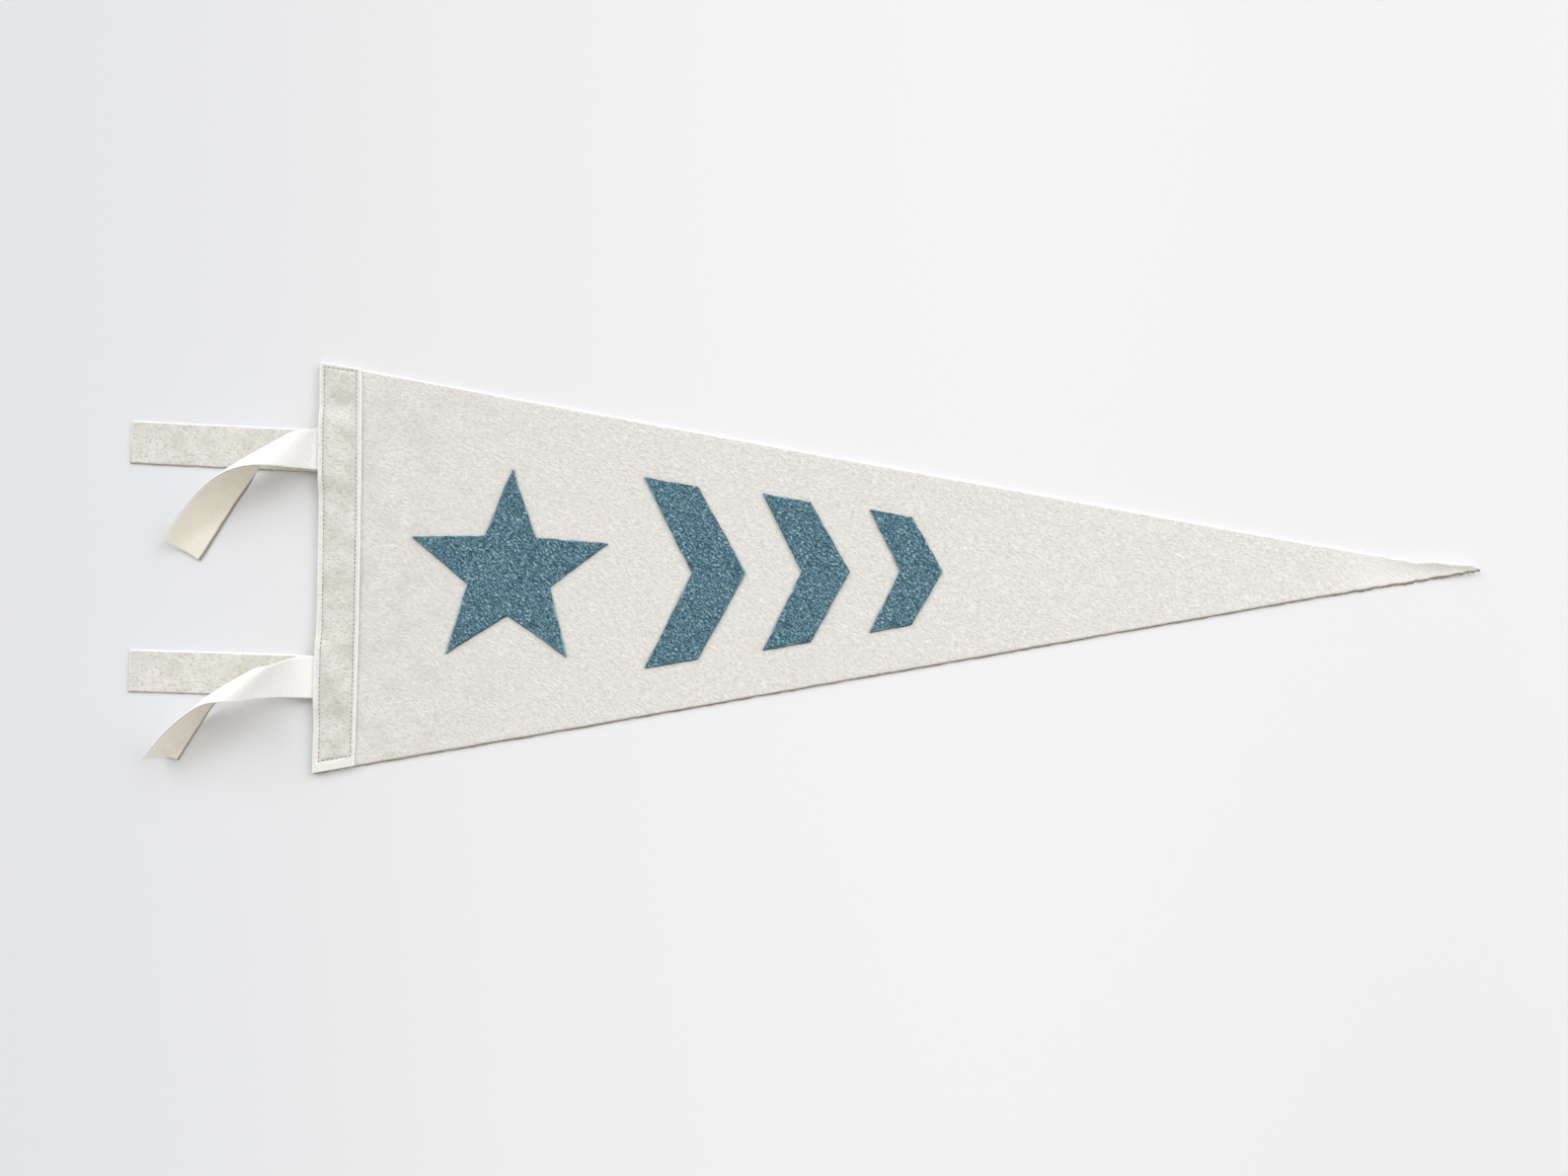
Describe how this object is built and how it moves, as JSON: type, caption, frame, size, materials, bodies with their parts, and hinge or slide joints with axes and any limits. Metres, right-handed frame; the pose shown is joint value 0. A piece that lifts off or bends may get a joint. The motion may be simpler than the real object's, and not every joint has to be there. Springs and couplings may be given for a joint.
{
  "type": "pennant flag",
  "caption": "Long triangular felt pennant lying flat, with a sewn heading strip, paired felt ties at the hoist and a blue felt star and chevrons on its front.",
  "frame": {"origin": "on the surface that the pennant lies on, under the middle of the box round the pennant and its ties", "axes": "+X from the hoist to the tip, +Y up the hoist, +Z out of the front face"},
  "size_m": [0.7088, 0.2154, 0.0312],
  "materials": {
    "panel_felt": "matte pressed felt, cream",
    "strip_felt": "matte pressed felt, cream, a little greyer",
    "blue_felt": "matte pressed felt, heathered grey blue"
  },
  "bodies": {
    "root": {"panel": "panel_felt", "header": "strip_felt", "tie_upper_flat": "strip_felt", "tie_upper_curled": "strip_felt", "tie_lower_flat": "strip_felt", "tie_lower_curled": "strip_felt", "star": "blue_felt", "chevron_1": "blue_felt", "chevron_2": "blue_felt", "chevron_3": "blue_felt"}
  },
  "joints": []
}
